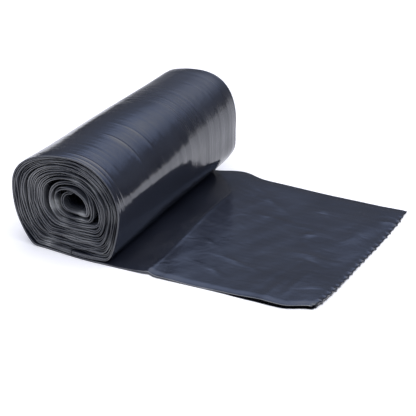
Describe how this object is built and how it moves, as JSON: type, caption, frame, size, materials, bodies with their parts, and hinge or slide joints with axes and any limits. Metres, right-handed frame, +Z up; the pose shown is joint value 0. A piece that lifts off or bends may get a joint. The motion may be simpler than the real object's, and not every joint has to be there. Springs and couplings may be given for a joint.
{
  "type": "bin bag roll",
  "caption": "Roll of perforated film refuse sacks lying on its side, wound without a core, with its free end pulled out flat to a torn perforated edge.",
  "frame": {"origin": "on the surface that the roll lies on, at the middle of the roll's flat spot", "axes": "+X along the free end towards its torn edge, +Y along the roll from its near end to its far end, +Z up"},
  "size_m": [0.3329, 0.2665, 0.107],
  "materials": {
    "film": "glossy dark blue-grey polythene film, finely wrinkled"
  },
  "bodies": {
    "root": {"bin_bag_web": "film"}
  },
  "joints": []
}
